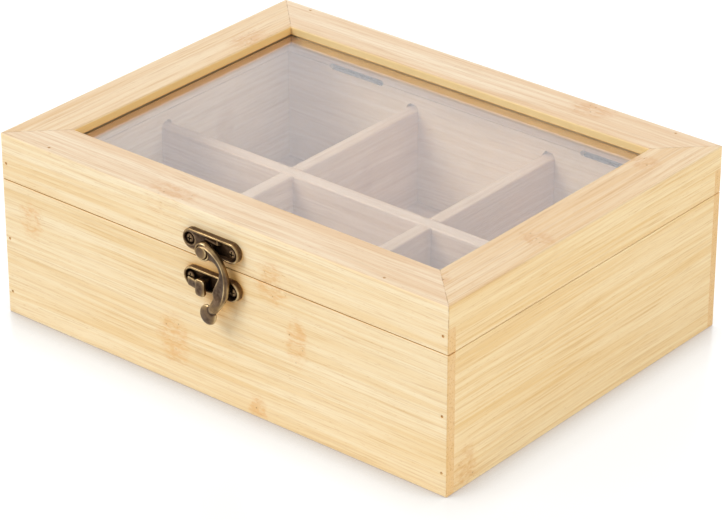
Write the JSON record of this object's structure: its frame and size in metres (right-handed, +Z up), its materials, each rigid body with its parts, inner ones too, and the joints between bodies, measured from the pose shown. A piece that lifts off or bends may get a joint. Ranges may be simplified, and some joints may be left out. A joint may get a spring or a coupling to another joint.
{
  "type": "tea bag organizer box",
  "caption": "Bamboo organizer box with compartments, a hinged lid with a window set in mitred rails, and a hook latch at the front.",
  "frame": {"origin": "on the standing surface, under the middle of the box walls", "axes": "+X to the right along the front, +Y to the back where the hinges are, +Z up"},
  "size_m": [0.24, 0.1954, 0.085],
  "materials": {
    "bamboo_wall": "sanded bamboo strips under a thin satin lacquer",
    "bamboo_rail": "sanded bamboo strips under a thin satin lacquer, a little pinker than the walls",
    "bamboo_inner": "sanded bamboo, unlacquered",
    "pane_glass": "clear polished sheet",
    "antique_bronze": "die-cast, blackened and rubbed bright on its ridges",
    "nickel_steel": "nickel-plated stamped sheet",
    "brad_steel": "drawn wire, dulled"
  },
  "bodies": {
    "box": {"box_front_board": "bamboo_wall", "box_back_board": "bamboo_wall", "box_left_board": "bamboo_wall", "box_right_board": "bamboo_wall", "floor_panel": "bamboo_inner", "long_divider": "bamboo_inner", "left_cross_divider": "bamboo_inner", "right_cross_divider": "bamboo_inner", "box_brads": "brad_steel", "left_hinge_box_leaf": "nickel_steel", "right_hinge_box_leaf": "nickel_steel", "left_hinge_pin": "nickel_steel", "right_hinge_pin": "nickel_steel", "box_hinge_screws": "nickel_steel", "catch_plate": "antique_bronze", "catch_screws": "antique_bronze"},
    "lid": {"lid_front_board": "bamboo_wall", "lid_back_board": "bamboo_wall", "lid_left_board": "bamboo_wall", "lid_right_board": "bamboo_wall", "front_rail": "bamboo_rail", "back_rail": "bamboo_rail", "left_rail": "bamboo_rail", "right_rail": "bamboo_rail", "window_pane": "pane_glass", "lid_brads": "brad_steel", "left_hinge_lid_leaf": "nickel_steel", "right_hinge_lid_leaf": "nickel_steel", "lid_hinge_screws": "nickel_steel", "latch_plate": "antique_bronze", "latch_screws": "antique_bronze", "hook_rivet": "antique_bronze"},
    "hook": {"latch_hook": "antique_bronze"}
  },
  "joints": [
    {"name": "lid_hinge", "type": "hinge", "parent": "box", "child": "lid", "pos_m": [0, 0.0936, 0.06365], "axis": [-1, 0, 0], "range_deg": [0, 100]},
    {"name": "hook_swing", "type": "hinge", "parent": "lid", "child": "hook", "pos_m": [-0.00175, -0.0951, 0.07005], "axis": [0, -1, 0], "range_deg": [0, 110]}
  ]
}
